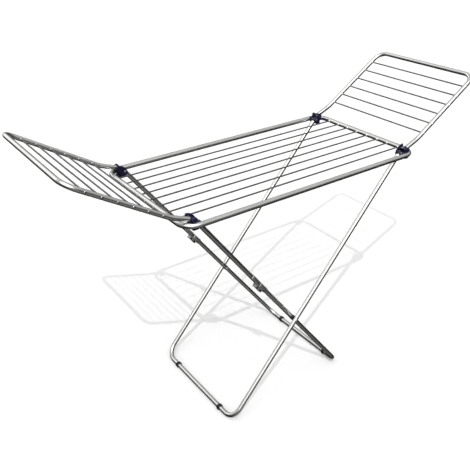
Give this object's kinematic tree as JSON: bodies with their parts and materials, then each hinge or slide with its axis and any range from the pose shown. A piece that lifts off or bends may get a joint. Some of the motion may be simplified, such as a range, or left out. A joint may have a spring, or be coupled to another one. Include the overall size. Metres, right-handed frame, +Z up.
{
  "type": "winged clothes drying rack",
  "caption": "Folding clothes drying rack with a wire-strung tube frame, two raised wire wings and crossed tube legs.",
  "frame": {"origin": "on the floor, under the middle of the rack", "axes": "+X along the rack from wing to wing, +Y across it, +Z up from the floor"},
  "size_m": [1.6178, 0.548, 1.0827],
  "materials": {
    "tubes": "glossy silver-grey coating",
    "wires": "glossy grey coating",
    "hinge_blocks": "moulded, dark blue",
    "foot_rings": "moulded, black",
    "crossing_spacers": "moulded, black",
    "knee_brackets": "silver-grey coating",
    "knee_rivets": "dark heads",
    "rivets": "plain steel"
  },
  "bodies": {
    "main_frame": {"main_frame_tube": "tubes", "main_wire_1": "wires", "main_wire_2": "wires", "main_wire_3": "wires", "main_wire_4": "wires", "main_wire_5": "wires", "main_wire_6": "wires", "main_wire_7": "wires", "main_wire_8": "wires", "hinge_block_left_near": "hinge_blocks", "hinge_block_left_far": "hinge_blocks", "hinge_block_right_near": "hinge_blocks", "hinge_block_right_far": "hinge_blocks", "leg_hinge_pins": "rivets", "wing_hinge_pins": "rivets"},
    "left_wing": {"left_wing_tube": "tubes", "left_wing_wire_1": "wires", "left_wing_wire_2": "wires", "left_wing_wire_3": "wires", "left_wing_wire_4": "wires", "left_wing_wire_5": "wires", "left_wing_wire_6": "wires"},
    "right_wing": {"right_wing_tube": "tubes", "right_wing_wire_1": "wires", "right_wing_wire_2": "wires", "right_wing_wire_3": "wires", "right_wing_wire_4": "wires", "right_wing_wire_5": "wires", "right_wing_wire_6": "wires"},
    "outer_leg": {"outer_leg_frame": "tubes", "outer_foot_ring_near": "foot_rings", "outer_foot_ring_far": "foot_rings", "outer_crossing_rivets": "rivets"},
    "inner_leg_links": {"inner_leg_link_near": "tubes", "inner_leg_link_far": "tubes", "knee_clip_near": "knee_brackets", "knee_clip_far": "knee_brackets", "knee_pins": "knee_rivets"},
    "inner_leg": {"inner_leg_frame": "tubes", "inner_foot_ring_near": "foot_rings", "inner_foot_ring_far": "foot_rings", "knee_knuckle_near": "knee_brackets", "knee_knuckle_far": "knee_brackets", "knee_rivets": "knee_rivets", "crossing_spacers": "crossing_spacers", "inner_crossing_rivets": "rivets"}
  },
  "joints": [
    {"name": "left_wing_hinge", "type": "hinge", "parent": "main_frame", "child": "left_wing", "pos_m": [-0.446, 0, 0.8695], "axis": [0, 1, 0], "range_deg": [0, 148.8]},
    {"name": "right_wing_hinge", "type": "hinge", "parent": "main_frame", "child": "right_wing", "pos_m": [0.446, 0, 0.8695], "axis": [0, -1, 0], "range_deg": [0, 148.8]},
    {"name": "outer_leg_hinge", "type": "hinge", "parent": "main_frame", "child": "outer_leg", "pos_m": [0.431, 0, 0.8565], "axis": [0, 1, 0], "range_deg": [0, 45.3]},
    {"name": "inner_leg_hinge", "type": "hinge", "parent": "main_frame", "child": "inner_leg_links", "pos_m": [-0.431, 0, 0.8565], "axis": [0, -1, 0], "range_deg": [0, 53.88]},
    {"name": "knee_hinge", "type": "hinge", "parent": "inner_leg_links", "child": "inner_leg", "pos_m": [-0.20442, 0, 0.52396], "axis": [0, 1, 0], "range_deg": [0, 178.57]}
  ],
  "couplings": [
    {"joint": "inner_leg_hinge", "follows": "outer_leg_hinge", "ratio": 1.1894},
    {"joint": "knee_hinge", "follows": "outer_leg_hinge", "ratio": 3.942}
  ]
}
